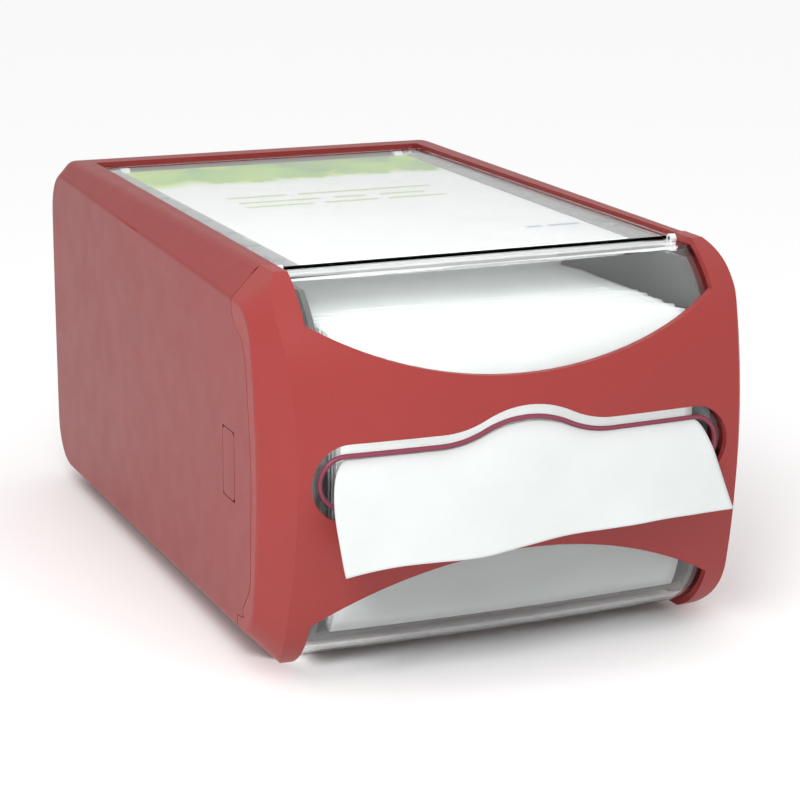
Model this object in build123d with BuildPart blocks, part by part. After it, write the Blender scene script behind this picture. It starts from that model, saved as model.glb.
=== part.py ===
from build123d import *
import os
from math import sqrt, radians, sin, cos

os.makedirs("parts", exist_ok=True)

# Counter-top napkin dispenser. X runs across, Y runs from the napkin slot (minus)
# to the back (plus), Z is up. The origin is on the counter, under the middle of the
# dispenser with its hanging napkin.

# ---- overall sizes (mm) ----
width = 190.0
height = 145.0
depth = 307.0
foot_height = 3.0

# ---- casing form ----
wall = 2.6
side_taper = 0.0214
bow_radius = 1080.0
bevel_drop = 11.5
bevel_bottom = 16.0
bevel_back = 10.7
bevel_front = 17.9
front_bevel_slope = 1.56
outline_sag = 8.9
top_lip_back = 27.3
shoulder_drop = 32.2
shoulder_back = 3.9
chin_height = 25.0
chin_back = 7.2
keel_back = 28.0
back_corner = 27.0
back_sag = 1.2
heel_corner = 20.0
part_gap = 0.4
side_round = 3.0
line_round = 5.0

# ---- front cover, its hinge and openings ----
cover_wall = 2.5
window_wall = 2.4
window_half = 82.4
seam_back = 43.5
hinge_back = 42.2
hinge_drop = 2.1
hinge_pin_radius = 0.9
knuckle_radius = 1.8
knuckle_near = 79.2
knuckle_far = 81.8
lug_near = 76.2
lug_far = 78.5
hinge_clear = 0.45
running_fit = 0.05
opening_half = 78.7
arch_rise = 21.5
top_arch_drop = 37.2
bottom_arch_height = 44.5
slot_half = 80.6
slot_top = 89.5
slot_height = 27.8
hump_rise = 7.7
hump_half = 33.0
clear_margin = 4.6

# ---- top display ----
lid_wall = 2.0
lid_drop = 1.6
lid_half_front = 78.3
lid_half_back = 74.6
lid_front = 44.9
lid_back = 36.5
lid_pivot_back = 39.0
rim_gap = 0.4
rim_back_gap = 2.3
lid_knuckle_radius = 2.0
lid_pin_radius = 1.2
card_half = 66.0
card_thick = 0.4
card_front = 55.0
card_back = 43.5
tray_half = 81.0
tray_wall = 2.0
tray_drop = 5.4
rail_height = 1.0
rail_tab = 0.5
rail_tabs = 8

# ---- hopper, napkins and pusher ----
hopper_half = 73.6
hopper_wall = 2.0
hopper_floor_z = 15.5
hinge_step = 4.0
napkin_half = 69.0
napkin_height = 107.0
stack_reach = 193.5
pusher_wall = 3.0
pusher_travel = 45.0
run_clear = 1.0
slider_length = 26.0
spool_radius = 9.0
spool_width = 8.0
tape_thick = 0.2
rail_half = 10.0
rail_wall = 1.6
rail_depth = 8.0
guide_half = 4.6
tongue_half_top = 68.2
tongue_half_low = 75.5
tongue_drop = 39.5
tongue_reach = 18.5
tongue_thick = 1.2

# ---- side buttons and latches ----
button_back = 48.6
button_wide = 12.4
button_low = 61.0
button_tall = 25.0
button_gap = 0.35
button_inner = 82.9
latch_half = 81.0
latch_pivot_back = 68.5
latch_pin_radius = 1.5
latch_thick = 3.0
button_relief = 0.7
spring_radius = 2.3
spring_wire = 0.35
spring_height = 2.0
spring_room = 3.4
latch_low = 67.0
latch_high = 79.0
catch_near = 86.3

# ---- places that follow from the sizes ----
half_width = width / 2
front_y = -(depth - tongue_reach) / 2
back_y = front_y + depth
bow_axis_y = front_y + bow_radius
taper_start = front_y + bevel_front
hinge_y = front_y + hinge_back
hinge_z = height - hinge_drop
seam_y = front_y + seam_back
lid_front_y = front_y + lid_front
lid_back_y = back_y - lid_back
lid_pivot_y = back_y - lid_pivot_back
lid_top = height - lid_drop
lid_pivot_z = lid_top - lid_wall - 2.3
tray_top = height - tray_drop
tray_low = tray_top - tray_wall
floor_top = hopper_floor_z + 2.0
stack_back_y = front_y + stack_reach
button_y = front_y + button_back
latch_y = front_y + latch_pivot_back
slot_low = slot_top - slot_height
plate_y = stack_back_y + 0.3
spool_y = plate_y + pusher_wall + spool_radius + 2
slider_y0 = spool_y + 4
slider_y1 = slider_y0 + slider_length
run_end = slider_y1 + pusher_travel + run_clear
latch_mid_z = (latch_low + latch_high) / 2
far = 400.0


def side_half(y, inset=0.0):
    """Half the casing's width at a place along its length."""
    return half_width - inset - side_taper * (y - taper_start)


def side_outline(grow, inset):
    """Outline of the flat side face, grown by the amount it has sloped inward."""
    top = height - bevel_drop + grow - (sqrt(2) - 1) * inset
    low = bevel_bottom - grow + (sqrt(2) - 1) * inset
    lean = sqrt(1 + front_bevel_slope ** 2) - front_bevel_slope
    nose = front_y + bevel_front - front_bevel_slope * grow + lean * inset
    tail = back_y - bevel_back - 6.5 + grow - (sqrt(2) - 1) * inset
    with BuildSketch(Plane.YZ) as outline:
        with BuildLine():
            Polyline((nose + outline_sag, top), (tail - back_sag, top))
            ThreePointArc((tail - back_sag, top), (tail, (top + low) / 2), (tail - back_sag, low))
            Polyline((tail - back_sag, low), (nose + outline_sag, low))
            ThreePointArc((nose + outline_sag, low), (nose, (top + low) / 2), (nose + outline_sag, top))
        make_face()
        fillet(outline.vertices().group_by(Axis.X)[0], radius=14.0 + grow - inset / 2)
        fillet(outline.vertices().group_by(Axis.X)[-1], radius=12.0 + grow - inset / 2)
    return outline.sketch


def casing_form(inset):
    """The casing's whole outer form as one solid, every wall moved in by inset."""
    reach = 22.0
    # front face, bowed in plan: the centre profile turned about a far upright axis
    turn = 9.5
    start = radians(-turn)
    front_plane = Plane(
        origin=(0, bow_axis_y, 0),
        x_dir=(sin(start), -cos(start), 0),
        z_dir=(-cos(start), -sin(start), 0),
    )
    with BuildPart() as form:
        with BuildSketch(front_plane) as centre_profile:
            with BuildLine():
                face_top = (bow_radius - shoulder_back, height - shoulder_drop)
                face_mid = (bow_radius, (height - shoulder_drop + chin_height) / 2 + 6.6)
                face_low = (bow_radius - chin_back, chin_height)
                face = ThreePointArc(face_low, face_mid, face_top)
                crown = TangentArc(face @ 1, (bow_radius - top_lip_back, height), tangent=face % 1)
                chin = TangentArc(
                    face @ 0, (bow_radius - keel_back, foot_height), tangent=-(face % 0)
                )
                Polyline(crown @ 1, (bow_radius - depth - 60, height),
                         (bow_radius - depth - 60, foot_height), chin @ 1)
            make_face()
            if inset > 0:
                offset(amount=-inset, kind=Kind.INTERSECTION, mode=Mode.REPLACE)
        revolve(axis=Axis((0, bow_axis_y, 0), (0, 0, 1)), revolution_arc=2 * turn)
        # rear face: straight across, bowed up its height, with round corners
        with BuildSketch(Plane.YZ.offset(-far / 2)) as back_profile:
            with BuildLine():
                rear = back_y - inset
                roof = height - inset
                base = foot_height + inset
                Polyline((rear - back_sag, base), (front_y - 50, base), (front_y - 50, roof),
                         (rear - back_sag, roof))
                ThreePointArc((rear - back_sag, roof), (rear, height / 2), (rear - back_sag, base))
            make_face()
            ends = back_profile.vertices().group_by(Axis.X)[-1].sort_by(Axis.Y)
            fillet(ends[-1], radius=back_corner - inset)
            fillet(back_profile.vertices().group_by(Axis.Y)[0].sort_by(Axis.X)[-1],
                   radius=heel_corner - inset)
        extrude(amount=far, mode=Mode.INTERSECT)
        # wide bevel round each side face
        add(bevelled_block(inset, reach), mode=Mode.INTERSECT)
        # side faces draw in toward the back
        with BuildSketch(Plane.XY.offset(-10)):
            lead = front_y - 60
            trail = back_y + 60
            with BuildLine():
                Polyline((-side_half(lead, inset), lead), (side_half(lead, inset), lead),
                         (side_half(trail, inset), trail), (-side_half(trail, inset), trail),
                         close=True)
            make_face()
        extrude(amount=height + 40, mode=Mode.INTERSECT)
        # softened edge all round each flat side face
        fillet([edge for edge in form.edges() if on_side_face(edge, inset)],
               radius=side_round)
    return form.part


def on_side_face(edge, inset):
    """Whether an edge lies in one of the two flat side faces."""
    places = (edge @ 0, edge @ 0.5, edge @ 1)
    return all(abs(abs(place.X) - side_half(place.Y, inset)) < 0.05 for place in places)


def on_long_line(edge, lowest):
    """Whether an edge is a long line where the left bevel meets the faces beside it."""
    places = (edge @ 0, edge @ 0.5, edge @ 1)
    beside = all(side_round / 2 < side_half(place.Y) + place.X < bevel_bottom
                 for place in places)
    return beside and max(place.Z for place in places) > lowest


def with_soft_lines(form, lowest):
    """The form with the long lines of its wide bevels rounded, the same on both sides."""
    with BuildPart() as soft:
        add(form)
        fillet([edge for edge in soft.edges() if on_long_line(edge, lowest)],
               radius=line_round)
        split(bisect_by=Plane.YZ, keep=Keep.BOTTOM)
        mirror(about=Plane.YZ)
    return soft.part


def bevelled_block(inset, reach):
    """Block whose ends slope in all round, from the side outline to a larger middle."""
    with BuildPart() as block:
        edge = half_width - inset
        loft([side_outline(reach, inset).moved(Location((edge - reach, 0, 0))),
              side_outline(0, inset).moved(Location((edge, 0, 0)))], ruled=True)
        loft([side_outline(0, inset).moved(Location((-edge, 0, 0))),
              side_outline(reach, inset).moved(Location((-edge + reach, 0, 0)))], ruled=True)
        extrude(side_outline(reach, inset).moved(Location((-edge + reach, 0, 0))),
                amount=2 * (edge - reach))
    return block.part


def spot(x, y, z):
    """A place to move a finished shape to."""
    return Location((x, y, z))


def bar(x0, x1, y0, y1, z0, z1, mode=Mode.ADD):
    """Straight block between two corners, on both sides of nothing."""
    with BuildSketch(Plane.XY.offset(z0)) as base:
        with Locations(((x0 + x1) / 2, (y0 + y1) / 2)):
            Rectangle(abs(x1 - x0), abs(y1 - y0))
    extrude(base.sketch, amount=z1 - z0, mode=mode)


def rod(x0, x1, y, z, radius, mode=Mode.ADD):
    """Round rod lying along X."""
    with BuildSketch(Plane.YZ.offset(min(x0, x1))) as base:
        with Locations((y, z)):
            Circle(radius)
    extrude(base.sketch, amount=abs(x1 - x0), mode=mode)


def door_region(grow):
    """Everything in front of the seam between the front cover and the casing."""
    with BuildSketch(Plane.YZ) as region:
        with BuildLine():
            start = (seam_y + grow, height - 12)
            Polyline((front_y - 60, -30), (front_y - 60, height + 30),
                     (seam_y + grow, height + 30), start)
            Spline(start, (front_y + 32.2 + grow, height - 23.5),
                   (front_y + 27.5 + grow, height - 37), (front_y + 23.7 + grow, 75),
                   (front_y + 25.2 + grow, 45), (front_y + 29.0 + grow, 30),
                   (front_y + 34.2 + grow, 22.9 + grow / 2), (seam_y - 3 + grow, 19.8 + grow / 2),
                   tangents=[(0, -1), (1, -0.1)])
            Polyline((seam_y - 3 + grow, 19.8 + grow / 2), (seam_y - 3 + grow, -30),
                     (front_y - 60, -30))
        make_face()
    return region.sketch


def back_region(grow):
    """Everything behind the seam between the back cover and the casing."""
    with BuildSketch(Plane.YZ) as region:
        with BuildLine():
            top = (back_y - 20.1 - grow, height - 12.5)
            corner = (back_y - 12.7 - grow, height - 14.0)
            end = (back_y - 17.5 - grow, 10.5)
            Polyline((back_y + 40, -30), (back_y + 40, height + 30),
                     (back_y - 20.1 - grow, height + 30), top, corner)
            Spline(corner, (back_y - 6.6 - grow, height - 48), (back_y - 5.2 - grow, 72),
                   (back_y - 5.3 - grow, 42), (back_y - 9.5 - grow, 21), end,
                   tangents=[(0.5, -1), (-1, -0.6)])
            Polyline(end, (back_y - 17.5 - grow, -30), (back_y + 40, -30))
        make_face()
    return region.sketch


def across(profile, half):
    """A side profile drawn out both ways across the machine."""
    return extrude(profile.moved(spot(-half, 0, 0)), amount=2 * half, mode=Mode.PRIVATE)


def slot_outline(margin):
    """Napkin slot seen from the front: round ends and a hump along the top edge."""
    top = slot_top - margin
    low = slot_low + margin
    half = slot_half - 0.8 * margin
    radius = (top - low) / 2
    hump = top + hump_rise
    with BuildSketch(Plane.XZ.offset(-front_y - 40)) as outline:
        with BuildLine():
            left_foot = (-hump_half, top)
            left_waist = (-hump_half / 2, top + hump_rise / 2)
            right_waist = (hump_half / 2, top + hump_rise / 2)
            right_foot = (hump_half, top)
            TangentArc(left_foot, left_waist, tangent=(1, 0))
            ThreePointArc(left_waist, (0, hump), right_waist)
            TangentArc(right_foot, right_waist, tangent=(-1, 0))
            Line(right_foot, (half - radius, top))
            ThreePointArc((half - radius, top), (half, (top + low) / 2), (half - radius, low))
            Line((half - radius, low), (-half + radius, low))
            ThreePointArc((-half + radius, low), (-half, (top + low) / 2), (-half + radius, top))
            Line((-half + radius, top), left_foot)
        make_face()
    return outline.sketch


def arched_opening(base_z, crown_z, end_z):
    """Front cover cut-out between the arch and a level far above or below it."""
    with BuildSketch(Plane.XZ.offset(-front_y - 50)) as outline:
        with BuildLine():
            ThreePointArc((-opening_half, end_z), (0, crown_z), (opening_half, end_z))
            Polyline((opening_half, end_z), (opening_half, base_z), (-opening_half, base_z),
                     (-opening_half, end_z))
        make_face()
    return outline.sketch


def keep(part, name):
    """Label one finished piece and write it out."""
    part.label = name
    export_step(part, "parts/" + name + ".step")
    print(name, round(part.volume), len(part.solids()), part.is_valid)


# ================= casing =================
outer = casing_form(0)
inner = casing_form(wall)
cover_inner = casing_form(cover_wall)
window_inner = casing_form(cover_wall + window_wall)
stack_face = casing_form(cover_wall + window_wall + 0.6)
cover_outer = outer & across(door_region(0), 120)
shell = with_soft_lines(outer - across(door_region(part_gap), 120), 0) - inner


def lid_opening(spread, lead, trail):
    """The tapering window in the roof, wider toward the front."""
    with BuildSketch(Plane.XY.offset(tray_low - 1)) as window:
        with BuildLine():
            near = lid_half_front + spread
            off = lid_half_back + spread
            Polyline((-near, lead), (near, lead), (off, trail), (-off, trail), close=True)
        make_face()
    return window.sketch


with BuildPart() as main_housing:
    add(shell)
    add(across(back_region(part_gap), 120), mode=Mode.SUBTRACT)
    extrude(lid_opening(rim_gap, seam_y - 5, lid_back_y + rim_back_gap), amount=30,
            mode=Mode.SUBTRACT)
    # round relief that lets the cover's top edge turn past the rim
    rod(-100, 100, hinge_y, hinge_z, height - hinge_z + hinge_clear, mode=Mode.SUBTRACT)
    for side in (-1, 1):
        bar(side * (button_inner - 10), side * 100,
            button_y - button_wide / 2 - button_gap, button_y + button_wide / 2 + button_gap,
            button_low - button_gap, button_low + button_tall + button_gap, mode=Mode.SUBTRACT)
        # legs under the hopper floor
        bar(side * 38, side * 42, seam_y + 14, back_y - 30, foot_height + wall - 0.2,
            hopper_floor_z)
keep(main_housing.part, "main_housing")

with BuildPart() as rear_cover:
    add(shell)
    add(across(back_region(0), 120), mode=Mode.INTERSECT)
keep(rear_cover.part, "rear_cover")

# ================= front cover =================
with BuildPart() as front_cover:
    add(cover_outer)
    add(cover_inner, mode=Mode.SUBTRACT)
    # one half is cut and mirrored, so that the face keeps a line up its middle
    split(bisect_by=Plane.YZ, keep=Keep.BOTTOM)
    extrude(arched_opening(height + 30, height - top_arch_drop, height - top_arch_drop + arch_rise),
            amount=120, mode=Mode.SUBTRACT)
    extrude(arched_opening(-20, bottom_arch_height, bottom_arch_height - arch_rise),
            amount=120, mode=Mode.SUBTRACT)
    extrude(slot_outline(0), amount=60, mode=Mode.SUBTRACT)
    # hinge knuckle under the top rim
    rod(-knuckle_near, -knuckle_far, hinge_y, hinge_z, knuckle_radius)
    rod(-knuckle_far - 1, 0, hinge_y, hinge_z, hinge_pin_radius + running_fit,
        mode=Mode.SUBTRACT)
    add(mirror(about=Plane.YZ, mode=Mode.PRIVATE), clean=False)
keep(front_cover.part, "front_cover")

with BuildPart() as front_window:
    add(cover_inner)
    add(window_inner, mode=Mode.SUBTRACT)
    add(across(door_region(-0.4), window_half), mode=Mode.INTERSECT)
    split(bisect_by=Plane.YZ, keep=Keep.BOTTOM)
    extrude(slot_outline(clear_margin), amount=60, mode=Mode.SUBTRACT)
    bar(-(lug_near - 0.4), -100, hinge_y - 3.4, seam_y + 5, hinge_z - 6, height,
        mode=Mode.SUBTRACT)
    add(mirror(about=Plane.YZ, mode=Mode.PRIVATE), clean=False)
keep(front_window.part, "front_window")

# ================= top display =================
with BuildPart() as card_tray:
    tray_front = seam_y + 3.0
    bar(-tray_half, tray_half, tray_front, back_y - card_back + 0.5, tray_low, tray_top)
    for side in (-1, 1):
        # lugs that carry the cover's hinge pins
        rod(side * lug_near, side * lug_far, hinge_y, hinge_z, knuckle_radius - 0.1)
        bar(side * lug_near, side * lug_far, hinge_y - 1.2, hinge_y + knuckle_radius - 0.1,
            tray_low, hinge_z)
        bar(side * lug_near, side * lug_far, hinge_y - 1.2, tray_front + 2, tray_low, tray_top)
        # lugs that carry the lid's hinge pins
        rod(side * 61.8, side * 65.7, lid_pivot_y, lid_pivot_z, lid_knuckle_radius)
        bar(side * 61.8, side * 65.7, back_y - card_back - 0.5, lid_pivot_y,
            lid_pivot_z - lid_knuckle_radius, lid_pivot_z)
    rod(-90, 90, hinge_y, hinge_z, hinge_pin_radius, mode=Mode.SUBTRACT)
    rod(-90, 90, lid_pivot_y, lid_pivot_z, lid_pin_radius, mode=Mode.SUBTRACT)
keep(card_tray.part, "card_tray")

with BuildPart() as cover_hinge_pins:
    for side in (-1, 1):
        rod(side * lug_near, side * knuckle_far, hinge_y, hinge_z, hinge_pin_radius)
keep(cover_hinge_pins.part, "cover_hinge_pins")

with BuildPart() as lid_hinge_pins:
    for side in (-1, 1):
        rod(side * 61.8, side * 70.0, lid_pivot_y, lid_pivot_z, lid_pin_radius)
keep(lid_hinge_pins.part, "lid_hinge_pins")

with BuildPart() as display_card:
    bar(-card_half, card_half, front_y + card_front, back_y - card_back, tray_top,
        tray_top + card_thick)
keep(display_card.part, "display_card")


def card_rail(side):
    """Strip beside the card, with low tabs spaced along it."""
    lead = front_y + card_front - 3
    trail = back_y - card_back
    with BuildPart() as rail:
        with BuildSketch(Plane.XY.offset(tray_top)):
            with BuildLine():
                Polyline((side * (card_half + 0.4), lead), (side * (lid_half_front - 1.2), lead),
                         (side * (lid_half_back - 0.8), trail), (side * (card_half + 0.4), trail),
                         close=True)
            make_face()
        extrude(amount=rail_height)
        pitch = (trail - lead) / rail_tabs
        for number in range(rail_tabs):
            tab_y = lead + pitch * (number + 0.5)
            bar(side * (card_half + 1.6), side * (card_half + 6.6), tab_y - 4, tab_y + 4,
                tray_top + rail_height, tray_top + rail_height + rail_tab)
    return rail.part


keep(card_rail(-1), "card_rail_left")
keep(card_rail(1), "card_rail_right")

with BuildPart() as top_window:
    with BuildSketch(Plane.XY.offset(lid_top - lid_wall)):
        with BuildLine():
            Polyline((-lid_half_front, lid_front_y), (lid_half_front, lid_front_y),
                     (lid_half_back, lid_back_y), (-lid_half_back, lid_back_y), close=True)
        make_face()
    extrude(amount=lid_wall)
    for side in (-1, 1):
        rod(side * 66.2, side * 70.0, lid_pivot_y, lid_pivot_z, lid_knuckle_radius)
        bar(side * 66.2, side * 70.0, lid_pivot_y - lid_knuckle_radius,
            lid_pivot_y + lid_knuckle_radius, lid_pivot_z, lid_top - lid_wall)
    rod(-90, 90, lid_pivot_y, lid_pivot_z, lid_pin_radius + running_fit, mode=Mode.SUBTRACT)
keep(top_window.part, "top_window")

# ================= hopper =================
hopper_back_y = back_y - 15.0
rail_front_y = front_y + 95.0


def hopper_side(side):
    """Upright wall beside the napkins, its front edge following the window."""
    with BuildPart() as wall_plate:
        bar(side * hopper_half, side * (hopper_half + hopper_wall), front_y - 5, hopper_back_y,
            hopper_floor_z, tray_low)
        add(stack_face, mode=Mode.INTERSECT)
        # step at the back, under the lid's hinged edge
        bar(side * (hopper_half - 1), side * (hopper_half + hopper_wall + 1),
            back_y - card_back - 0.5, hopper_back_y + 1, tray_low - hinge_step, tray_low + 1,
            mode=Mode.SUBTRACT)
        # ears for the latch pin
        for low in (latch_low - 4.5, latch_high + 0.5):
            bar(side * (hopper_half + hopper_wall - 0.2), side * (latch_half + 4),
                latch_y - 4, latch_y + 4, low, low + 4.0)
        with BuildSketch(Plane.XY.offset(latch_low - 5)) as pin_hole:
            with Locations((side * latch_half, latch_y)):
                Circle(latch_pin_radius)
        extrude(amount=latch_high - latch_low + 12, mode=Mode.SUBTRACT)
    return wall_plate.part


keep(hopper_side(-1), "hopper_wall_left")
keep(hopper_side(1), "hopper_wall_right")

rail_low = hopper_floor_z - rail_depth
screw_spread = 5.0
screw_radius = 1.2


def screw_holes(low):
    """Two holes for the screws at the front of the guide rail."""
    with BuildSketch(Plane.XY.offset(low)) as holes:
        with Locations((-screw_spread, rail_front_y - 4), (screw_spread, rail_front_y - 4)):
            Circle(screw_radius)
    extrude(holes.sketch, amount=rail_depth + 4, mode=Mode.SUBTRACT)


with BuildPart() as hopper_floor:
    bar(-hopper_half, hopper_half, front_y + 20.5, hopper_back_y, hopper_floor_z, floor_top)
    # slot that the pusher's neck runs in
    bar(-guide_half, guide_half, rail_front_y, run_end, hopper_floor_z - 1, floor_top + 1,
        mode=Mode.SUBTRACT)
    screw_holes(hopper_floor_z - 1)
keep(hopper_floor.part, "hopper_floor")

with BuildPart() as guide_rail:
    bar(-rail_half, rail_half, rail_front_y - 8, hopper_back_y, rail_low, hopper_floor_z)
    bar(-rail_half + rail_wall, rail_half - rail_wall, rail_front_y, hopper_back_y - 2,
        rail_low + rail_wall, hopper_floor_z + 1, mode=Mode.SUBTRACT)
    screw_holes(rail_low - 1)
keep(guide_rail.part, "guide_rail")

with BuildPart() as rail_screws:
    screw_places = ((-screw_spread, rail_front_y - 4), (screw_spread, rail_front_y - 4))
    with BuildSketch(Plane.XY.offset(rail_low - 1.4)):
        with Locations(*screw_places):
            Circle(2.6)
    extrude(amount=1.4)
    with BuildSketch(Plane.XY.offset(rail_low)):
        with Locations(*screw_places):
            Circle(screw_radius)
    extrude(amount=rail_depth + 1.6)
keep(rail_screws.part, "rail_screws")

# ================= napkins =================
with BuildPart() as napkin_stack:
    bar(-napkin_half, napkin_half, front_y - 5, stack_back_y, floor_top, floor_top + napkin_height)
    add(stack_face, mode=Mode.INTERSECT)
keep(napkin_stack.part, "napkin_stack")

with BuildPart() as napkin_tongue:
    lip_z = slot_top - clear_margin - 1.8
    hang = (front_y - tongue_reach, lip_z - tongue_drop + 6)
    with BuildSketch(Plane.YZ.offset(-100)) as tongue_side:
        with BuildLine():
            droop = Spline((front_y + 4.9, lip_z), (front_y - 5, lip_z - 3.0),
                           (front_y - tongue_reach * 0.75, lip_z - tongue_drop * 0.5), hang,
                           tangents=[(-1, 0), (-0.05, -1)])
            under = Spline((front_y + 4.9, lip_z - tongue_thick),
                           (front_y - 5 + tongue_thick * 0.4, lip_z - 3.0 - tongue_thick),
                           (front_y - tongue_reach * 0.75 + tongue_thick,
                            lip_z - tongue_drop * 0.5 - tongue_thick * 0.5),
                           (front_y - tongue_reach + tongue_thick, lip_z - tongue_drop + 6),
                           tangents=[(-1, 0), (-0.05, -1)])
            Line(droop @ 0, under @ 0)
            Line(droop @ 1, under @ 1)
        make_face()
    extrude(amount=200)
    with BuildSketch(Plane.XZ.offset(-front_y - 20)) as tongue_front:
        with BuildLine():
            tip = lip_z - tongue_drop - 10
            Polyline((-tongue_half_top, lip_z + 10), (tongue_half_top, lip_z + 10),
                     (tongue_half_low, tip), (-tongue_half_low, tip), close=True)
        make_face()
    extrude(amount=70, mode=Mode.INTERSECT)
keep(napkin_tongue.part, "napkin_tongue")

# ================= pusher =================
spool_z = floor_top - 0.6 + tape_thick + spool_radius
with BuildPart() as push_plate:
    bar(-napkin_half + 1, napkin_half - 1, plate_y, plate_y + pusher_wall, floor_top + 0.6,
        floor_top + napkin_height - 4)
    for side in (-1, 1):
        # upright ribs
        bar(side * 30, side * 33, plate_y + pusher_wall - 0.2, plate_y + 12, floor_top + 0.6,
            floor_top + napkin_height - 20)
        # cheeks that hold the spool
        bar(side * 4.6, side * 7.6, plate_y + pusher_wall - 0.2, slider_y1, floor_top + 0.6,
            spool_z + 12)
    # neck that reaches down through the floor to the slider
    bar(-7.6, 7.6, slider_y0 + 8, slider_y1, floor_top + 0.6, floor_top + 10)
    bar(-guide_half + 0.3, guide_half - 0.3, slider_y0 + 8, slider_y1,
        hopper_floor_z - 0.5, floor_top + 1)
    rod(-8, 8, spool_y, spool_z, 2.0, mode=Mode.SUBTRACT)
keep(push_plate.part, "push_plate")

with BuildPart() as pusher_slider:
    bar(-rail_half + rail_wall + 0.3, rail_half - rail_wall - 0.3, slider_y0, slider_y1,
        rail_low + rail_wall + 0.3, hopper_floor_z - 0.5)
keep(pusher_slider.part, "pusher_slider")

with BuildPart() as spool_axle:
    rod(-8.4, 8.4, spool_y, spool_z, 2.0)
keep(spool_axle.part, "spool_axle")

with BuildPart() as spring_spool:
    rod(-spool_width / 2, spool_width / 2, spool_y, spool_z, spool_radius)
    rod(-spool_width / 2, spool_width / 2, spool_y, spool_z, 2.0 + running_fit,
        mode=Mode.SUBTRACT)
keep(spring_spool.part, "spring_spool")

with BuildPart() as spring_tape:
    tape_z = spool_z - spool_radius - tape_thick
    bar(-spool_width / 2 + 0.3, spool_width / 2 - 0.3, rail_front_y + 0.3, spool_y, tape_z,
        tape_z + tape_thick - 0.02)
keep(spring_tape.part, "spring_tape")

# ================= side buttons and latches =================


def side_button(side):
    """Flush push button with a retaining flange behind the wall."""
    with BuildPart() as button:
        bar(side * button_inner, side * 100, button_y - button_wide / 2,
            button_y + button_wide / 2, button_low, button_low + button_tall)
        fillet(button.edges().filter_by(Axis.X), radius=2.2)
        add(outer, mode=Mode.INTERSECT)
        inside = side_half(button_y + button_wide, wall + 0.3)
        bar(side * button_inner, side * (inside - 0.2), button_y - button_wide / 2 - 1.4,
            button_y + button_wide / 2 + 1.4, button_low - 1.4, button_low + button_tall + 1.4)
        # relief behind the pressing edge, so that only the front of the button meets the arm
        bar(side * (button_inner - 1), side * (button_inner + button_relief), button_y - 2,
            button_y + button_wide / 2 + 2, latch_low - 1, latch_high + 1, mode=Mode.SUBTRACT)
    return button.part


keep(side_button(-1), "side_button_left")
keep(side_button(1), "side_button_right")


def latch_arm(side):
    """Lever on an upright pin, with a nose at its front that holds the cover."""
    with BuildPart() as arm:
        bar(side * (latch_half - latch_thick / 2), side * (latch_half + latch_thick / 2),
            front_y + 29, latch_y, latch_low, latch_high)
        with BuildSketch(Plane.XY.offset(latch_low)):
            with Locations((side * latch_half, latch_y)):
                Circle(3.6)
        extrude(amount=latch_high - latch_low)
        bar(side * (latch_half + 1), side * (catch_near - 0.3), front_y + 29, front_y + 32.4,
            latch_low, latch_high)
        with BuildSketch(Plane.XY.offset(latch_low - 1)):
            with Locations((side * latch_half, latch_y)):
                Circle(latch_pin_radius + running_fit)
        extrude(amount=latch_high - latch_low + 2, mode=Mode.SUBTRACT)
        # room for the return spring round the pin
        with BuildSketch(Plane.XY.offset(latch_mid_z - spring_room / 2)):
            with Locations((side * latch_half, latch_y)):
                Circle(3.8)
        extrude(amount=spring_room, mode=Mode.SUBTRACT)
    return arm.part


keep(latch_arm(-1), "latch_arm_left")
keep(latch_arm(1), "latch_arm_right")

with BuildPart() as latch_pins:
    with BuildSketch(Plane.XY.offset(latch_low - 4.5)):
        with Locations((-latch_half, latch_y), (latch_half, latch_y)):
            Circle(latch_pin_radius)
    extrude(amount=latch_high - latch_low + 9)
keep(latch_pins.part, "latch_pins")


def cover_catch(side):
    """Hooked strip inside the cover that the latch nose holds."""
    with BuildPart() as catch:
        bar(side * (catch_near + 0.4), side * (catch_near + 2.4), front_y + 8, front_y + 36,
            latch_low + 0.5, latch_high - 0.5)
        bar(side * catch_near, side * (catch_near + 1), front_y + 33, front_y + 36,
            latch_low + 0.5, latch_high - 0.5)
        add(cover_inner, mode=Mode.INTERSECT)
    return catch.part


keep(cover_catch(-1), "cover_catch_left")
keep(cover_catch(1), "cover_catch_right")


def button_spring(side):
    """Small return coil round the latch pin, in the fork of the arm."""
    with BuildPart() as spring:
        with BuildLine():
            path = Helix(pitch=spring_height / 2, height=spring_height, radius=spring_radius,
                         center=(side * latch_half, latch_y, latch_mid_z - spring_height / 2))
        with BuildSketch(Plane(origin=path @ 0, z_dir=path % 0)):
            Circle(spring_wire)
        sweep()
    return spring.part


keep(button_spring(-1), "button_spring_left")
keep(button_spring(1), "button_spring_right")

# ================= feet =================
with BuildPart() as rubber_feet:
    with BuildSketch(Plane.XY):
        with Locations((-62, seam_y + 22), (62, seam_y + 22), (-58, back_y - 40), (58, back_y - 40)):
            Circle(8)
    extrude(amount=foot_height)
keep(rubber_feet.part, "rubber_feet")
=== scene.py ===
import bpy
import bmesh
import math
from mathutils import Matrix, Vector, noise
from mathutils.bvhtree import BVHTree


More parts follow.
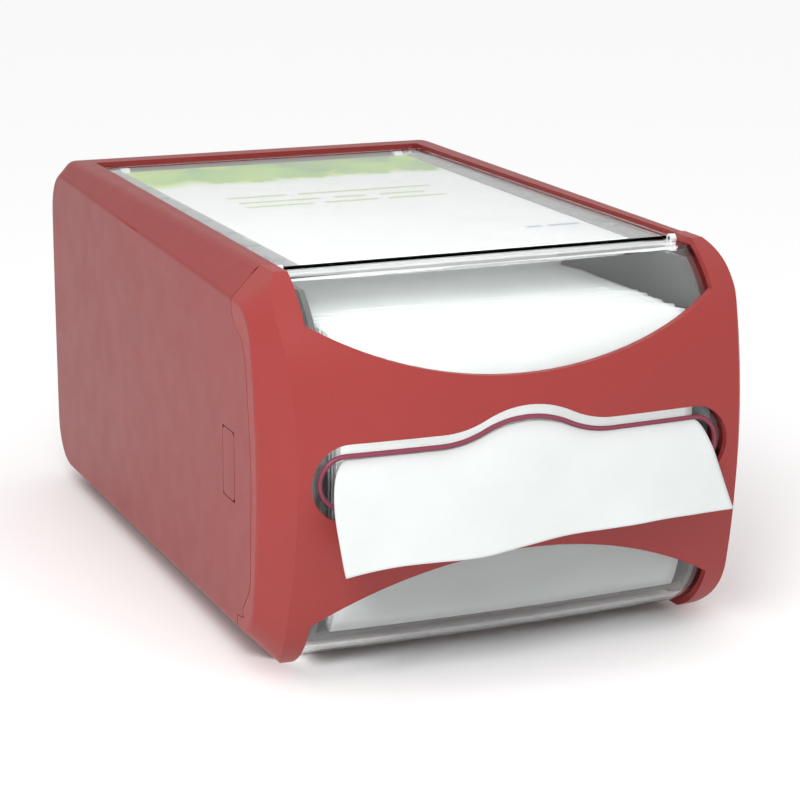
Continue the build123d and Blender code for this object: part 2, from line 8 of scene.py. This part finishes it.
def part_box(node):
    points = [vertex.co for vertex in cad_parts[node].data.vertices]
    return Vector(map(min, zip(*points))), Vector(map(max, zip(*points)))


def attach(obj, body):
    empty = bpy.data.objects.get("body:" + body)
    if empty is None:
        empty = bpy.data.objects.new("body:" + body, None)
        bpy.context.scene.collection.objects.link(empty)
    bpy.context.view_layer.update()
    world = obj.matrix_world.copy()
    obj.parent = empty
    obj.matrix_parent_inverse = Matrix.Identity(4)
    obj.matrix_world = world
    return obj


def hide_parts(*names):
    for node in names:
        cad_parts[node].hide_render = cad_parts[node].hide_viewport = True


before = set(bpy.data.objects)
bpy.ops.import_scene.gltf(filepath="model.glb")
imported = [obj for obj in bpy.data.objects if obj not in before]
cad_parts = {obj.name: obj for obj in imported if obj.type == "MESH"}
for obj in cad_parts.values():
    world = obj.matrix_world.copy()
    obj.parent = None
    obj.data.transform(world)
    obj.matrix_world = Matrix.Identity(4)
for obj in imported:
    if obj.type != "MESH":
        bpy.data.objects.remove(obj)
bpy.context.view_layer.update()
bpy.context.scene.view_settings.view_transform = "Standard"

# Casing: the long red housing and its rear cover.
# Injection-moulded in a satin red plastic with a very fine spark-eroded grain;
# the rear cover clips in along a seam that runs down both sides.
casing_red = (0.245, 0.022, 0.020)
casing_grain = 0.00042
plastic_sheen = 0.32


def link_value(material, start, socket, end, name):
    """Join one node's output to another node's input."""
    material.node_tree.links.new(start.outputs[socket], end.inputs[name])


def blank_material(name, colour, roughness):
    """A node material with its plain shader, and where each point lies on the object."""
    material = bpy.data.materials.new(name)
    material.use_nodes = True
    shader = material.node_tree.nodes["Principled BSDF"]
    shader.inputs["Base Color"].default_value = (*colour, 1.0)
    shader.inputs["Roughness"].default_value = roughness
    place = material.node_tree.nodes.new("ShaderNodeTexCoord")
    return material, shader, place


def speckle(material, place, size, detail=2.0):
    """Soft random pattern whose spots are about this many metres across."""
    pattern = material.node_tree.nodes.new("ShaderNodeTexNoise")
    pattern.inputs["Scale"].default_value = 1.0 / size
    pattern.inputs["Detail"].default_value = detail
    link_value(material, place, "Object", pattern, "Vector")
    return pattern


def spread(material, pattern, low, high, start=0.3, end=0.7):
    """Turn a pattern into a number between low and high."""
    step = material.node_tree.nodes.new("ShaderNodeMapRange")
    step.inputs["From Min"].default_value = start
    step.inputs["From Max"].default_value = end
    step.inputs["To Min"].default_value = low
    step.inputs["To Max"].default_value = high
    link_value(material, pattern, 0, step, "Value")
    return step


def blend_colours(material, factor, first, second):
    """Two colours mixed by a pattern."""
    mix = material.node_tree.nodes.new("ShaderNodeMix")
    mix.data_type = "RGBA"
    mix.inputs["A"].default_value = (*first, 1.0)
    mix.inputs["B"].default_value = (*second, 1.0)
    material.node_tree.links.new(factor.outputs[0], mix.inputs["Factor"])
    return mix


def raised(material, shader, pattern, height, strength=1.0):
    """Bump from a pattern, its height in metres."""
    bump = material.node_tree.nodes.new("ShaderNodeBump")
    bump.inputs["Strength"].default_value = strength
    bump.inputs["Distance"].default_value = height
    link_value(material, pattern, 0, bump, "Height")
    link_value(material, bump, "Normal", shader, "Normal")
    return bump


def tinted(colour, share):
    """The colour made lighter or darker by a share."""
    return tuple(min(1.0, part * share) for part in colour)


def moulded_plastic(name, colour, roughness, grain, height):
    """Moulded plastic: fine grain, slow drift of tone, slightly uneven gloss."""
    material, shader, place = blank_material(name, colour, roughness)
    tone = spread(material, speckle(material, place, 0.035, 3.0), 0.0, 1.0)
    mix = blend_colours(material, tone, tinted(colour, 0.975), tinted(colour, 1.02))
    link_value(material, mix, "Result", shader, "Base Color")
    gloss = spread(material, speckle(material, place, 0.012, 4.0), roughness - 0.02,
                   roughness + 0.03)
    link_value(material, gloss, "Result", shader, "Roughness")
    raised(material, shader, speckle(material, place, grain, 2.0), height)
    shader.inputs["Specular IOR Level"].default_value = plastic_sheen
    return material


def finish_node(name, material):
    """Give one carried-over piece its finish."""
    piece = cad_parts[name]
    piece.data.materials.clear()
    piece.data.materials.append(material)
    return piece


red_plastic = moulded_plastic("satin_red_casing", casing_red, 0.40, casing_grain, 0.00006)
finish_node("main_housing", red_plastic)
finish_node("rear_cover", red_plastic)

# Rubber feet under the floor of the casing.
# Soft black rubber buttons pushed into sockets, dusty and dull.
rubber = moulded_plastic("foot_rubber_black", (0.02, 0.02, 0.021), 0.75, 0.0009, 0.00008)
finish_node("rubber_feet", rubber)

# Hopper: two side walls, the floor and its front sill.
# Moulded in dark grey plastic; the walls stand on the floor.
hopper_grey = moulded_plastic("hopper_dark_grey", (0.062, 0.062, 0.063), 0.42, 0.0007, 0.00004)
for name in ("hopper_wall_left", "hopper_wall_right", "hopper_floor"):
    finish_node(name, hopper_grey)

# Tray over the napkins that carries the printed card.
# Thin pale moulding that casts no shadow, so light reaches the napkins below it. Its pale colour is partly
# the tray's own white and partly painted light, brightening the hollow above the napkins as light through a
# clear tray would.
tray_pale = moulded_plastic("tray_pale_white", (0.78, 0.79, 0.79), 0.35, 0.0009, 0.00003)
tray = finish_node("card_tray", tray_pale)
tray.visible_shadow = False

# Guide rail under the floor, with its screws.
# Mid grey moulding, fixed by two plain steel screws.
rail_grey = moulded_plastic("guide_mid_grey", (0.10, 0.10, 0.105), 0.5, 0.0008, 0.00004)
finish_node("guide_rail", rail_grey)


def drawn_metal(name, colour, roughness, along):
    """Drawn or turned steel, with fine lines along one axis."""
    material, shader, place = blank_material(name, colour, roughness)
    shader.inputs["Metallic"].default_value = 1.0
    stretch = material.node_tree.nodes.new("ShaderNodeMapping")
    scale = [2500.0, 2500.0, 2500.0]
    scale["XYZ".index(along)] = 60.0
    stretch.inputs["Scale"].default_value = scale
    link_value(material, place, "Object", stretch, "Vector")
    lines = material.node_tree.nodes.new("ShaderNodeTexNoise")
    lines.inputs["Scale"].default_value = 1.0
    link_value(material, stretch, "Vector", lines, "Vector")
    gloss = spread(material, lines, roughness - 0.08, roughness + 0.12)
    link_value(material, gloss, "Result", shader, "Roughness")
    raised(material, shader, lines, 0.00003)
    return material


steel = drawn_metal("plain_steel", (0.52, 0.52, 0.53), 0.3, "X")
for name in ("rail_screws", "cover_hinge_pins", "lid_hinge_pins", "latch_pins", "spool_axle"):
    finish_node(name, steel)

# Pusher that keeps the napkins against the window.
# Grey moulded plate with a white slider in the rail, drawn forward by a flat steel spring.
finish_node("push_plate", rail_grey)
white_slider = moulded_plastic("slider_natural_white", (0.62, 0.61, 0.58), 0.45, 0.0009, 0.00004)
finish_node("pusher_slider", white_slider)
blued_steel = drawn_metal("blued_spring_steel", (0.30, 0.31, 0.34), 0.28, "Y")
for name in ("spring_spool", "spring_tape", "button_spring_left", "button_spring_right"):
    finish_node(name, blued_steel)

# Side buttons and the latch arms behind them.
# Buttons in the casing's red, flush in their windows; arms in natural white.
finish_node("side_button_left", red_plastic)
finish_node("side_button_right", red_plastic)
finish_node("latch_arm_left", white_slider)
finish_node("latch_arm_right", white_slider)

# Front cover: the red face with its two arches and the shaped napkin slot.
# Same red plastic as the casing with a slightly coarser grain; it wraps on to the sides. Its red is set
# lighter and paler than the casing's: the plastic's own red with a painted sheen added, standing in for the
# key light's reflection on the front.
cover_red_painted_sheen = (0.290, 0.034, 0.031)
cover_plastic = moulded_plastic("satin_red_cover", cover_red_painted_sheen, 0.42, 0.0005, 0.00012)
cover = finish_node("front_cover", cover_plastic)
cover.visible_shadow = False
finish_node("cover_catch_left", cover_plastic)
finish_node("cover_catch_right", cover_plastic)

# Clear front window behind the cover.
# One clear styrene moulding from the top bend to the bottom bend, polished both sides.


def clear_plastic(name, tint, roughness, ripple):
    """Clear styrene with a faint moulding ripple."""
    material, shader, place = blank_material(name, tint, roughness)
    shader.inputs["Transmission Weight"].default_value = 1.0
    shader.inputs["IOR"].default_value = 1.49
    haze = spread(material, speckle(material, place, 0.02, 3.0), roughness, roughness + 0.02)
    link_value(material, haze, "Result", shader, "Roughness")
    raised(material, shader, speckle(material, place, 0.03, 1.0), ripple)
    return material


window_clear = clear_plastic("clear_window_styrene", (0.97, 0.985, 0.98), 0.01, 0.0001)
window = finish_node("front_window", window_clear)
window.visible_shadow = False

# Clear lid over the printed card.
# Flat clear styrene panel, hinged at the back so that the card can be changed.
lid_clear = clear_plastic("clear_lid_styrene", (0.97, 0.985, 0.98), 0.01, 0.00005)
lid_index = 1.3
lid_clear.node_tree.nodes["Principled BSDF"].inputs["IOR"].default_value = lid_index
lid = finish_node("top_window", lid_clear)
lid.visible_shadow = False

# Smoky rails each side of the card.
# Translucent grey strips with low tabs that hold the card flat.
rail_smoke = moulded_plastic("rail_smoky_grey", (0.20, 0.20, 0.205), 0.25, 0.002, 0.00004)
finish_node("card_rail_left", rail_smoke)
finish_node("card_rail_right", rail_smoke)

# Printed card under the lid.
# White coated card, offset printed: a blurred bed of green leaves across the back and
# greeked lines in pale green; it lies loose between the two rails.
card_low, card_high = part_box("display_card")
card_step = 0.0008
leaf_bed = 0.046
paper_white = (0.86, 0.87, 0.87)
bed_yellow = (0.50, 0.68, 0.06)
leaf_greens = ((0.13, 0.40, 0.02), (0.20, 0.48, 0.03), (0.05, 0.26, 0.07), (0.30, 0.54, 0.02))
line_green = (0.34, 0.46, 0.05)
mark_blue = (0.16, 0.18, 0.44)
# each leaf: across, distance from the back edge, size, turn, which green
leaves = ((-0.047, 0.008, 0.019, 0.4, 3), (-0.030, 0.022, 0.024, 1.9, 0), (-0.008, 0.012, 0.022, 0.9, 1),
          (0.004, 0.027, 0.019, 2.6, 0), (0.020, 0.011, 0.024, 4.1, 2), (0.034, 0.026, 0.020, 5.0, 0),
          (0.050, 0.014, 0.021, 3.3, 1), (0.058, 0.032, 0.014, 1.2, 2), (-0.058, 0.026, 0.013, 2.2, 1),
          (0.044, 0.004, 0.016, 0.3, 2), (-0.018, 0.036, 0.011, 5.6, 3))
# each greeked word: left end, right end, distance from the front edge
words = ((-0.046, -0.020, 0.132), (-0.015, 0.044, 0.132), (-0.045, -0.010, 0.120),
         (-0.004, 0.010, 0.120), (0.016, 0.036, 0.120), (-0.045, -0.016, 0.1105),
         (-0.012, 0.012, 0.1105), (0.016, 0.042, 0.1105))
marks = ((0.040, 0.047, 0.033), (0.049, 0.0625, 0.033))


def mixed(first, second, share):
    """A colour part of the way from one to another."""
    share = max(0.0, min(1.0, share))
    return tuple(a + (b - a) * share for a, b in zip(first, second))


def leaf_cover(x, back, leaf):
    """How far inside a lobed leaf a point is: over 1 well inside, under 0 outside."""
    along, away = x - leaf[0], back - leaf[1]
    angle = math.atan2(away, along) + leaf[3]
    lobes = 0.62 + 0.25 * abs(math.cos(2.5 * angle)) + 0.06 * math.cos(13 * angle)
    return (leaf[2] * lobes - math.hypot(along, away)) / 0.0016


def bar_cover(x, front, low, high, place, half):
    """How far inside a printed bar a point is."""
    return min(x - low, high - x, half - abs(front - place)) / 0.0005


def print_colour(x, y):
    """The printed colour at a place on the card."""
    back, front = card_high.y - y, y - card_low.y
    edge = leaf_bed + 0.006 * noise.noise((x * 55.0, 3.1, 0.0)) + 0.003 * noise.noise((x * 160.0, 7.7, 0.0))
    colour = mixed(paper_white, bed_yellow, (edge - back) / 0.012)
    drift = noise.noise((x * 40.0, y * 40.0, 1.3))
    colour = mixed(colour, leaf_greens[2], 0.35 * drift * (1.0 if back < edge - 0.01 else 0.0))
    for leaf in leaves:
        cover = leaf_cover(x, back, leaf)
        if cover > 0.0:
            green = mixed(leaf_greens[leaf[4]], bed_yellow, 0.25 + 0.5 * drift)
            colour = mixed(colour, green, min(1.0, cover) * 0.85)
    for low, high, place in words:
        ragged = 0.0016 + 0.0004 * noise.noise((x * 900.0, place * 500.0, 0.0))
        colour = mixed(colour, line_green, bar_cover(x, front, low, high, place, ragged))
    for low, high, place in marks:
        colour = mixed(colour, mark_blue, 0.8 * bar_cover(x, front, low, high, place, 0.0018))
    return colour


card_across = int((card_high.x - card_low.x) / card_step)
card_along = int((card_high.y - card_low.y) / card_step)
card_mesh = bpy.data.meshes.new("printed_card")
build = bmesh.new()
ink = build.verts.layers.float_color.new("ink")
rows = []
for row in range(card_along + 1):
    y = card_low.y + (card_high.y - card_low.y) * row / card_along
    line = []
    for column in range(card_across + 1):
        x = card_low.x + (card_high.x - card_low.x) * column / card_across
        corner = build.verts.new((x, y, card_high.z))
        corner[ink] = (*print_colour(x, y), 1.0)
        line.append(corner)
    rows.append(line)
for row in range(card_along):
    for column in range(card_across):
        build.faces.new((rows[row][column], rows[row][column + 1],
                         rows[row + 1][column + 1], rows[row + 1][column]))
rim = [edge for edge in build.edges if edge.is_boundary]
skirt = bmesh.ops.extrude_edge_only(build, edges=rim)["geom"]
for corner in (part for part in skirt if isinstance(part, bmesh.types.BMVert)):
    corner.co.z = card_low.z
    corner[ink] = (*paper_white, 1.0)
build.to_mesh(card_mesh)
build.free()
card = bpy.data.objects.new("printed_card", card_mesh)
bpy.context.collection.objects.link(card)

card_paper, card_shader, card_place = blank_material("printed_card_paper", paper_white, 0.45)
ink_read = card_paper.node_tree.nodes.new("ShaderNodeVertexColor")
ink_read.layer_name = "ink"
link_value(card_paper, ink_read, "Color", card_shader, "Base Color")
card_gloss = spread(card_paper, speckle(card_paper, card_place, 0.01, 3.0), 0.38, 0.5)
link_value(card_paper, card_gloss, "Result", card_shader, "Roughness")
raised(card_paper, card_shader, speckle(card_paper, card_place, 0.0012), 0.00001)
card_mesh.materials.append(card_paper)
card.visible_shadow = False
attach(card, "casing")
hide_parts("display_card")

# Napkin pile.
# White tissue napkins folded to a pad and stood on edge, pressed against the window;
# each folded napkin shows as a leaf along the top, none quite level with the next.
pile_low, pile_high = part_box("napkin_stack")
leaf_count = 24
leaf_thick = 0.00155
leaf_gap = 0.00012
leaf_columns = 36
leaf_rows = 26
pile_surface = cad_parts["napkin_stack"].data
pile_shape = BVHTree.FromPolygons([v.co.copy() for v in pile_surface.vertices],
                                  [p.vertices[:] for p in pile_surface.polygons])


def pile_front(x, z):
    """Where the pile's front face is at a place across and up."""
    hit = pile_shape.ray_cast(Vector((x, -0.4, z)), Vector((0.0, 1.0, 0.0)))
    return hit[0].y


def crushed_corner(x, number):
    """How far the top edge drops toward the right, where corners were bent in loading."""
    reach = max(0.0, min(1.0, (x - 0.050) / 0.017))
    worn = 0.0022 + 0.0046 * abs(noise.noise((number * 0.61, 4.0, 0.0)))
    steps = 0.0007 * noise.noise((x * 420.0, number * 0.37, 0.0))
    return reach * reach * worn + (steps if reach > 0.0 else 0.0)


pile_mesh = bpy.data.meshes.new("napkin_pile")
build = bmesh.new()
for number in range(leaf_count + 1):
    last = number == leaf_count
    start = number * leaf_thick
    thick = leaf_thick - leaf_gap if not last else pile_high.y - (pile_low.y + 0.030) - start
    shift = 0.0006 * noise.noise((number * 1.37, 0.0, 2.0))
    short = 0.0003 + 0.0012 * abs(noise.noise((number * 2.11, 5.0, 0.0)))
    half = pile_high.x - 0.0008
    sections = []
    for column in range(leaf_columns + 1):
        x = -half + 2 * half * column / leaf_columns + shift
        wave = 0.0004 * noise.noise((x * 60.0, number * 0.9, 0.0))
        top = pile_high.z - short + wave - crushed_corner(x, number)
        loop = []
        for row in range(leaf_rows + 1):
            z = pile_low.z + 0.0004 + (top - pile_low.z - 0.0004) * row / leaf_rows
            look = min(max(z, pile_low.z + 0.0005), pile_high.z - 0.0005)
            side = max(-half, min(half, x))
            loop.append((x, pile_front(side, look) + 0.0002 + start, z))
        tail = max(thick, 0.0005)
        crest = loop[-1]
        if last:
            tail = pile_high.y - 0.0003 - crest[1]
        loop.append((x, crest[1] + min(tail, 0.0015) * 0.5, crest[2] + 0.00035))
        back = []
        for _, y, z in reversed(loop[:leaf_rows + 1]):
            back.append((x, pile_high.y - 0.0003 if last else y + tail, z))
        loop += back
        sections.append([build.verts.new(place) for place in loop])
    for one, two in zip(sections, sections[1:]):
        for index in range(len(one)):
            follow = (index + 1) % len(one)
            build.faces.new((one[index], two[index], two[follow], one[follow]))
    for end in (sections[0], sections[-1]):
        middle = leaf_rows + 1
        for row in range(leaf_rows):
            build.faces.new((end[row], end[row + 1], end[2 * middle - row - 1],
                             end[2 * middle - row]))
        build.faces.new((end[leaf_rows], end[middle], end[middle + 1]))
bmesh.ops.recalc_face_normals(build, faces=build.faces)
for face in build.faces:
    face.smooth = True
build.to_mesh(pile_mesh)
build.free()
pile = bpy.data.objects.new("napkin_pile", pile_mesh)
bpy.context.collection.objects.link(pile)

tissue_white = (0.60, 0.625, 0.62)
tissue, tissue_shader, tissue_place = blank_material("napkin_tissue", tissue_white, 0.85)
tissue_tone = spread(tissue, speckle(tissue, tissue_place, 0.02, 3.0), 0.0, 1.0)
tissue_mix = blend_colours(tissue, tissue_tone, tinted(tissue_white, 0.975),
                           tinted(tissue_white, 1.01))
link_value(tissue, tissue_mix, "Result", tissue_shader, "Base Color")
tissue_gloss = spread(tissue, speckle(tissue, tissue_place, 0.004), 0.8, 0.95)
link_value(tissue, tissue_gloss, "Result", tissue_shader, "Roughness")
tissue_shader.inputs["Sheen Weight"].default_value = 0.15
crepe = tissue.node_tree.nodes.new("ShaderNodeMapping")
crepe.inputs["Scale"].default_value = (700.0, 900.0, 2600.0)
link_value(tissue, tissue_place, "Object", crepe, "Vector")
crepe_lines = tissue.node_tree.nodes.new("ShaderNodeTexNoise")
crepe_lines.inputs["Scale"].default_value = 1.0
link_value(tissue, crepe, "Vector", crepe_lines, "Vector")
raised(tissue, tissue_shader, crepe_lines, 0.00008)
pile_mesh.materials.append(tissue)
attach(pile, "casing")
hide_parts("napkin_stack")

# Moulded lip round the slot in the clear window.
# A fine bead of tinted plastic along the slot's edge, so that it does not tear the napkin.
window_mesh = window.data
window_shape = BVHTree.FromPolygons([v.co.copy() for v in window_mesh.vertices],
                                    [p.vertices[:] for p in window_mesh.polygons])
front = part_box("rear_cover")[1].y - 0.307
window_face = front + 0.0025
window_wall = 0.0024
# radius of the bowed face, seen from above
bow = 1.080
slot_middle = 0.0756
slot_end = 0.0676
lip_radius = 0.0009


def wall_middle(x):
    """The middle of the window's wall in depth, which bows back toward the sides."""
    return window_face + window_wall / 2 + x * x / (2 * bow)


def slot_edge(x, z, across, up):
    """Where the slot's edge is from a place inside the slot, in a direction."""
    start = Vector((x, wall_middle(x + 0.009 * across), z))
    hit = window_shape.ray_cast(start, Vector((across, 0.0, up)))
    return hit[0]


lip_path = []
for step in range(61):
    x = -slot_end + 2 * slot_end * step / 60
    lip_path.append(slot_edge(x, slot_middle, 0.0, 1.0))
for step in range(1, 16):
    angle = math.pi / 2 - math.pi * step / 16
    lip_path.append(slot_edge(slot_end, slot_middle, math.cos(angle), math.sin(angle)))
for step in range(61):
    x = slot_end - 2 * slot_end * step / 60
    lip_path.append(slot_edge(x, slot_middle, 0.0, -1.0))
for step in range(1, 16):
    angle = -math.pi / 2 - math.pi * step / 16
    lip_path.append(slot_edge(-slot_end, slot_middle, math.cos(angle), math.sin(angle)))
lip_curve = bpy.data.curves.new("slot_lip", "CURVE")
lip_curve.dimensions = "3D"
lip_curve.bevel_depth = lip_radius
lip_curve.bevel_resolution = 3
lip_line = lip_curve.splines.new("POLY")
lip_line.points.add(len(lip_path) - 1)
for point, place in zip(lip_line.points, lip_path):
    point.co = (place.x, place.y - window_wall / 2, place.z, 1.0)
lip_line.use_cyclic_u = True
lip_shape = bpy.data.objects.new("slot_lip_line", lip_curve)
bpy.context.collection.objects.link(lip_shape)
bpy.context.view_layer.update()
lip_mesh = bpy.data.meshes.new_from_object(lip_shape)
bpy.data.objects.remove(lip_shape)
lip = bpy.data.objects.new("slot_lip", lip_mesh)
bpy.context.collection.objects.link(lip)
for face in lip_mesh.polygons:
    face.use_smooth = True
lip_plastic = moulded_plastic("lip_tinted_plastic", (0.22, 0.045, 0.075), 0.3, 0.001, 0.00002)
lip_mesh.materials.clear()
lip_mesh.materials.append(lip_plastic)
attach(lip, "front_door")

# The napkin that hangs out of the slot.
# The next tissue in the pile, pulled forward under the slot's edge; two plies hang down
# over the cover with soft ripples, a little wider and uneven at the free edge.
tongue_columns = 96
tongue_rows = 44
tongue_wall = 0.0004
top_half = 0.0672
left_half = 0.0650
# the fall seen from the side: distance in front of the window's face, drop from the edge
fall = ((-0.0030, 0.0012), (0.0005, 0.0013), (0.0035, 0.0030), (0.0062, 0.0064),
        (0.0085, 0.0112), (0.0110, 0.0178), (0.0140, 0.0258), (0.0168, 0.0338))


def along_fall(share):
    """Distance forward and down at a share of the way along the fall."""
    place = share * (len(fall) - 1)
    index = min(int(place), len(fall) - 2)
    before = fall[max(index - 1, 0)]
    start, end = fall[index], fall[index + 1]
    after = fall[min(index + 2, len(fall) - 1)]
    t = place - index
    values = []
    for a, b, c, d in zip(before, start, end, after):
        values.append(0.5 * (2 * b + (c - a) * t + (2 * a - 5 * b + 4 * c - d) * t * t
                             + (3 * b - a - 3 * c + d) * t ** 3))
    return values


tongue_mesh = bpy.data.meshes.new("hanging_napkin")
build = bmesh.new()
grid = []
for column in range(tongue_columns + 1):
    side = 2 * column / tongue_columns - 1
    edge_x = side * top_half
    edge = slot_edge(max(-slot_end, min(slot_end, edge_x)), slot_middle, 0.0, 1.0)
    line = []
    for row in range(tongue_rows + 1):
        share = row / tongue_rows
        forward, drop = along_fall(share)
        flare = share ** 1.6
        if side < 0:
            half = left_half + 0.0115 * (1 - (1 - share) ** 3) - 0.0022 * share ** 3
        else:
            half = top_half + flare * 0.0085
        x = side * half
        longer = 0.0040 * share * (-side) + 0.0012 * share * math.cos(5.0 * side + 0.6)
        hump = (edge.z - slot_middle - 0.0093) * (1 - 0.75 * share)
        z = slot_middle + 0.0093 + hump - drop - longer
        ripple = 0.0011 * share * math.sin(7.0 * side + 2.2 + 2.0 * share)
        ripple += 0.0014 * share * noise.noise((x * 26.0, share * 2.2, 0.4))
        ripple += 0.0005 * share * noise.noise((x * 70.0, share * 6.0, 1.4))
        y = window_face + x * x / (2 * bow) * (1 - 0.4 * share) - forward - ripple
        line.append(build.verts.new((x, y, z)))
    grid.append(line)
for one, two in zip(grid, grid[1:]):
    for row in range(tongue_rows):
        build.faces.new((one[row], one[row + 1], two[row + 1], two[row])).smooth = True
build.to_mesh(tongue_mesh)
build.free()
tongue = bpy.data.objects.new("hanging_napkin", tongue_mesh)
bpy.context.collection.objects.link(tongue)
plies = tongue.modifiers.new("plies", "SOLIDIFY")
plies.thickness = tongue_wall
plies.offset = 0.0
tongue_mesh.materials.append(tissue)
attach(tongue, "front_door")
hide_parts("napkin_tongue")

# Floor, lights and camera.
# A wide pale floor, an even white room and one soft key from the upper left.
floor_mesh = bpy.data.meshes.new("studio_floor")
build = bmesh.new()
floor_reach = 8.0
bmesh.ops.create_grid(build, x_segments=8, y_segments=8, size=floor_reach)
build.to_mesh(floor_mesh)
build.free()
floor = bpy.data.objects.new("studio_floor", floor_mesh)
bpy.context.collection.objects.link(floor)
floor_pale = (0.955, 0.955, 0.955)
floor_white, floor_shader, _ = blank_material("floor_white", floor_pale, 0.7)
floor_shader.inputs["Specular IOR Level"].default_value = 0.2
floor_mesh.materials.append(floor_white)

# brightness of the room at the horizon and overhead
sky_low, sky_high = 0.56, 1.12
room = bpy.data.worlds.new("white_room")
room.use_nodes = True
room.node_tree.nodes["Background"].inputs["Color"].default_value = (1.0, 1.0, 1.0, 1.0)
sky_place = room.node_tree.nodes.new("ShaderNodeTexCoord")
sky_height = room.node_tree.nodes.new("ShaderNodeSeparateXYZ")
sky_level = room.node_tree.nodes.new("ShaderNodeMapRange")
sky_level.inputs["From Min"].default_value = 0.0
sky_level.inputs["From Max"].default_value = 0.8
sky_level.inputs["To Min"].default_value = sky_low
sky_level.inputs["To Max"].default_value = sky_high
room.node_tree.links.new(sky_place.outputs["Generated"], sky_height.inputs["Vector"])
room.node_tree.links.new(sky_height.outputs["Z"], sky_level.inputs["Value"])
room.node_tree.links.new(sky_level.outputs["Result"],
                         room.node_tree.nodes["Background"].inputs["Strength"])
bpy.context.scene.world = room


def soft_lamp(name, place, aim, size, power):
    """Square soft box pointed at a place."""
    data = bpy.data.lights.new(name, "AREA")
    data.shape = "SQUARE"
    data.size = size
    data.energy = power
    lamp = bpy.data.objects.new(name, data)
    lamp.location = place
    lamp.rotation_euler = (Vector(aim) - Vector(place)).to_track_quat("-Z", "Y").to_euler()
    bpy.context.collection.objects.link(lamp)
    return lamp


key_place = (-0.32, front - 0.36, 0.50)
key_aim = (-0.06, front, 0.11)
soft_lamp("key_soft_box", key_place, key_aim, size=0.22, power=2.6)

camera_data = bpy.data.cameras.new("camera")
camera_data.sensor_width = 36.0
camera_data.lens = 108.96
camera = bpy.data.objects.new("camera", camera_data)
turn = math.radians(23.3063)
tilt = math.radians(14.8642)
roll = math.radians(0.2992)
ahead = Vector((math.sin(turn) * math.cos(tilt), math.cos(turn) * math.cos(tilt),
                -math.sin(tilt)))
across = Vector((math.cos(turn), -math.sin(turn), 0.0))
upward = across.cross(ahead)
camera_x = math.cos(roll) * across + math.sin(roll) * upward
camera_y = -math.sin(roll) * across + math.cos(roll) * upward
camera_place = (-0.3627, front - 0.72654, 0.31406)
camera.matrix_world = Matrix.Translation(camera_place) @ Matrix(
    (camera_x, camera_y, -ahead)).transposed().to_4x4()
bpy.context.collection.objects.link(camera)
bpy.context.scene.camera = camera
